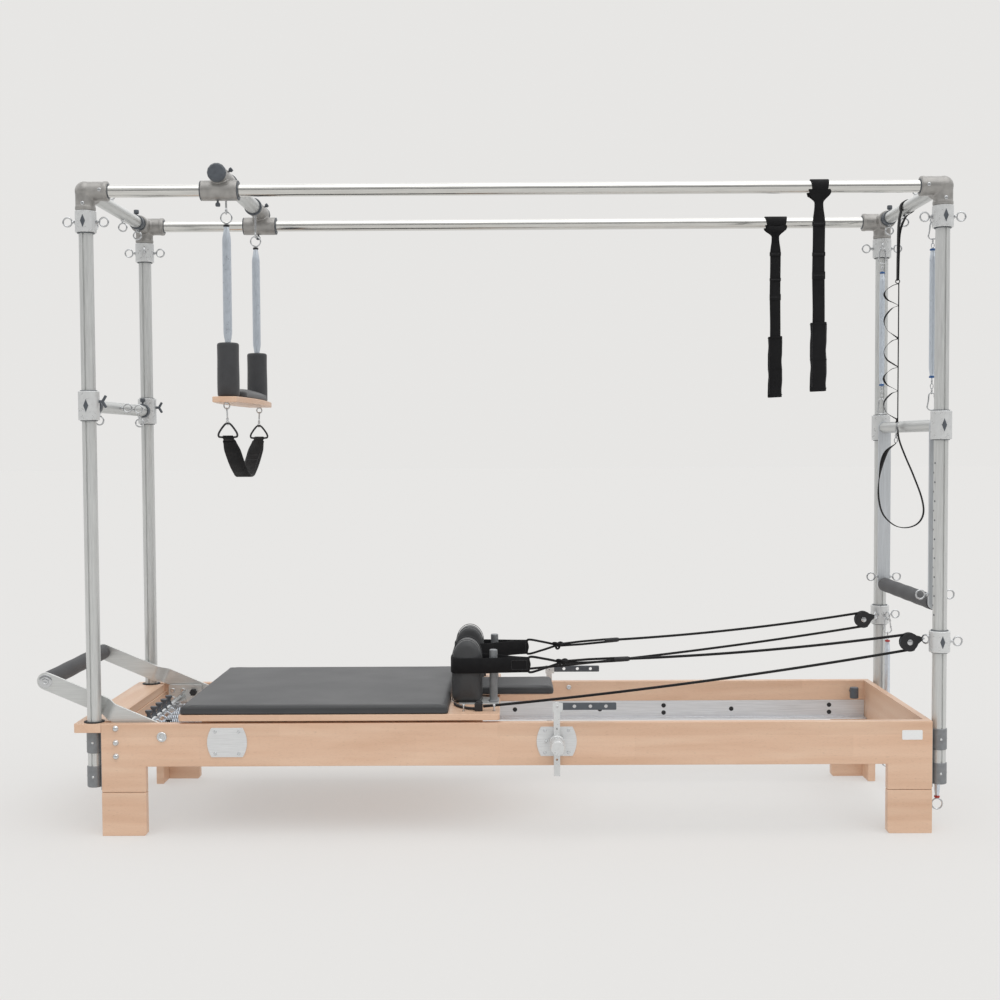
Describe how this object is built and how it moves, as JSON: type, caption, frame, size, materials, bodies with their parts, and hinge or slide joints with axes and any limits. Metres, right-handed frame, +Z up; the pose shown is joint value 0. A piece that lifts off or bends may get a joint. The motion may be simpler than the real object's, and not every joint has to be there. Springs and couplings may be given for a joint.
{
  "type": "combo pilates reformer",
  "caption": "Wooden sliding-carriage pilates reformer bed inside a full tube trapeze frame, with springs, straps, pulleys, push-through bar, footbar and hanging trapeze seat.",
  "frame": {"origin": "on the floor under the middle of the machine's bounding box", "axes": "+X along the bed from the footbar end to the pulley end, +Y across the bed to the far side, +Z up"},
  "size_m": [2.6595, 0.8886, 1.902],
  "materials": {
    "beech": "clear satin lacquer on beech",
    "anodised_aluminium": "satin anodised",
    "polished_steel": "polished stainless steel",
    "cast_grey": "grey-brown cast aluminium",
    "silver_paint": "satin silver",
    "grey_paint": "satin grey paint on steel",
    "zinc_springs": "bright zinc",
    "charcoal_vinyl": "matt grained vinyl over foam",
    "charcoal_foam": "closed-cell foam grip",
    "black_webbing": "woven webbing and cord",
    "black_plastic": "moulded nylon"
  },
  "bodies": {
    "frame": {"side_frame_near": "beech", "side_frame_far": "beech", "foot_end_deck": "beech", "head_end_board": "beech", "track_near": "anodised_aluminium", "track_far": "anodised_aluminium", "post_foot_near": "anodised_aluminium", "post_foot_far": "anodised_aluminium", "post_head_near": "anodised_aluminium", "post_head_far": "anodised_aluminium", "spring_bar": "anodised_aluminium", "top_tube_near": "polished_steel", "top_tube_far": "polished_steel", "foot_top_arch": "cast_grey", "head_top_arch": "cast_grey", "top_collar_foot_near": "silver_paint", "top_collar_foot_far": "silver_paint", "top_collar_head_near": "silver_paint", "top_collar_head_far": "silver_paint", "low_collar_near": "silver_paint", "low_collar_far": "silver_paint", "right_mid_collar_near": "silver_paint", "right_mid_collar_far": "silver_paint", "lever_bracket_near": "silver_paint", "lever_bracket_far": "silver_paint", "pulley_block_near": "black_plastic", "pulley_block_far": "black_plastic"},
    "left_mid_bar": {"left_mid_bar": "silver_paint"},
    "push_bar": {"push_bar_frame": "grey_paint", "push_bar_foam": "charcoal_foam"},
    "footbar": {"footbar_frame": "silver_paint", "footbar_foam": "charcoal_foam"},
    "carriage": {"carriage_board": "beech", "carriage_cushion": "charcoal_vinyl", "shoulder_rest_bracket": "grey_paint", "shoulder_pad_near": "charcoal_vinyl", "shoulder_pad_far": "charcoal_vinyl", "carriage_spring_set": "zinc_springs", "rope_near": "black_webbing", "rope_far": "black_webbing"},
    "headrest": {"headrest": "charcoal_vinyl"},
    "wheelset_foot": {"wheelset_foot": "grey_paint"},
    "wheelset_head": {"wheelset_head": "grey_paint"},
    "sheave_near": {"pulley_sheave_near": "black_plastic"},
    "sheave_far": {"pulley_sheave_far": "black_plastic"},
    "trolley": {"trapeze_trolley": "cast_grey"},
    "trapeze": {"trapeze_spring_near": "zinc_springs", "trapeze_spring_far": "zinc_springs", "seat_board": "beech", "seat_pad": "charcoal_vinyl"},
    "foot_strap": {"foot_strap": "black_webbing"},
    "upper_spring_near": {"upper_spring_near": "zinc_springs"},
    "upper_spring_far": {"upper_spring_far": "zinc_springs"},
    "lower_spring_near": {"lower_spring_near": "zinc_springs"},
    "lower_spring_far": {"lower_spring_far": "zinc_springs"},
    "loop_strap_near": {"loop_strap_near": "black_webbing"},
    "loop_strap_far": {"loop_strap_far": "black_webbing"},
    "long_strap": {"long_strap": "black_webbing"},
    "lever_near": {"side_lever_near": "silver_paint"},
    "lever_far": {"side_lever_far": "silver_paint"}
  },
  "joints": [
    {"name": "carriage_slide", "type": "slide", "parent": "frame", "child": "carriage", "axis": [1, 0, 0], "range_m": [0, 1.08], "stiffness_N_per_m": 150, "deforming": ["rope_near", "rope_far", "carriage_spring_set"]},
    {"name": "headrest_tilt", "type": "hinge", "parent": "carriage", "child": "headrest", "pos_m": [-0.09665, 0, 0.353], "axis": [0, -1, 0], "range_deg": [0, 40]},
    {"name": "wheelset_foot_spin", "type": "hinge", "parent": "carriage", "child": "wheelset_foot", "pos_m": [-0.81065, 0, 0.2283], "axis": [0, 1, 0], "continuous": true},
    {"name": "wheelset_head_spin", "type": "hinge", "parent": "carriage", "child": "wheelset_head", "pos_m": [-0.09065, 0, 0.2283], "axis": [0, 1, 0], "continuous": true},
    {"name": "sheave_near_spin", "type": "hinge", "parent": "frame", "child": "sheave_near", "pos_m": [1.19335, -0.25457, 0.534], "axis": [0, 1, 0], "continuous": true},
    {"name": "sheave_far_spin", "type": "hinge", "parent": "frame", "child": "sheave_far", "pos_m": [1.19335, 0.25457, 0.534], "axis": [0, 1, 0], "continuous": true},
    {"name": "footbar_lift", "type": "hinge", "parent": "frame", "child": "footbar", "pos_m": [-0.95465, 0, 0.285], "axis": [0, 1, 0], "range_deg": [0, 75]},
    {"name": "push_bar_swing", "type": "hinge", "parent": "frame", "child": "push_bar", "pos_m": [1.26335, 0, 1.16], "axis": [0, 1, 0], "range_deg": [-90, 90]},
    {"name": "left_bar_height", "type": "slide", "parent": "frame", "child": "left_mid_bar", "axis": [0, 0, 1], "range_m": [-0.5, 0.42]},
    {"name": "trolley_slide", "type": "slide", "parent": "frame", "child": "trolley", "axis": [1, 0, 0], "range_m": [-0.22, 1.5]},
    {"name": "trapeze_swing", "type": "hinge", "parent": "trolley", "child": "trapeze", "pos_m": [-0.77565, 0, 1.781], "axis": [0, 1, 0], "range_deg": [-30, 30]},
    {"name": "foot_strap_swing", "type": "hinge", "parent": "trapeze", "child": "foot_strap", "pos_m": [-0.77565, 0, 1.2233], "axis": [0, 1, 0], "range_deg": [-60, 60]},
    {"name": "upper_spring_near_swing", "type": "hinge", "parent": "frame", "child": "upper_spring_near", "pos_m": [1.25132, -0.25992, 1.7337], "axis": [0, 1, 0], "range_deg": [-20, 20]},
    {"name": "lower_spring_near_swing", "type": "hinge", "parent": "frame", "child": "lower_spring_near", "pos_m": [1.27537, -0.25992, 0.5315], "axis": [0, 1, 0], "range_deg": [-20, 2]},
    {"name": "upper_spring_far_swing", "type": "hinge", "parent": "frame", "child": "upper_spring_far", "pos_m": [1.25132, 0.25992, 1.7337], "axis": [0, 1, 0], "range_deg": [-20, 20]},
    {"name": "lower_spring_far_swing", "type": "hinge", "parent": "frame", "child": "lower_spring_far", "pos_m": [1.27537, 0.25992, 0.5315], "axis": [0, 1, 0], "range_deg": [-20, 2]},
    {"name": "loop_strap_near_swing", "type": "hinge", "parent": "frame", "child": "loop_strap_near", "pos_m": [0.91435, -0.31, 1.832], "axis": [1, 0, 0], "range_deg": [-30, 30]},
    {"name": "loop_strap_far_swing", "type": "hinge", "parent": "frame", "child": "loop_strap_far", "pos_m": [0.91435, 0.31, 1.832], "axis": [1, 0, 0], "range_deg": [-30, 30]},
    {"name": "long_strap_swing", "type": "hinge", "parent": "frame", "child": "long_strap", "pos_m": [1.26335, 0.03, 1.832], "axis": [0, 1, 0], "range_deg": [0, 25]},
    {"name": "lever_near_turn", "type": "hinge", "parent": "frame", "child": "lever_near", "pos_m": [0.16885, -0.3568, 0.2685], "axis": [0, 1, 0], "range_deg": [0, 90]},
    {"name": "lever_far_turn", "type": "hinge", "parent": "frame", "child": "lever_far", "pos_m": [0.16885, 0.3568, 0.2685], "axis": [0, 1, 0], "range_deg": [0, 90]}
  ],
  "couplings": [
    {"joint": "wheelset_foot_spin", "follows": "carriage_slide", "rad_per_m": 40},
    {"joint": "wheelset_head_spin", "follows": "carriage_slide", "rad_per_m": 40},
    {"joint": "sheave_near_spin", "follows": "carriage_slide", "rad_per_m": -45.45},
    {"joint": "sheave_far_spin", "follows": "carriage_slide", "rad_per_m": -45.45}
  ]
}
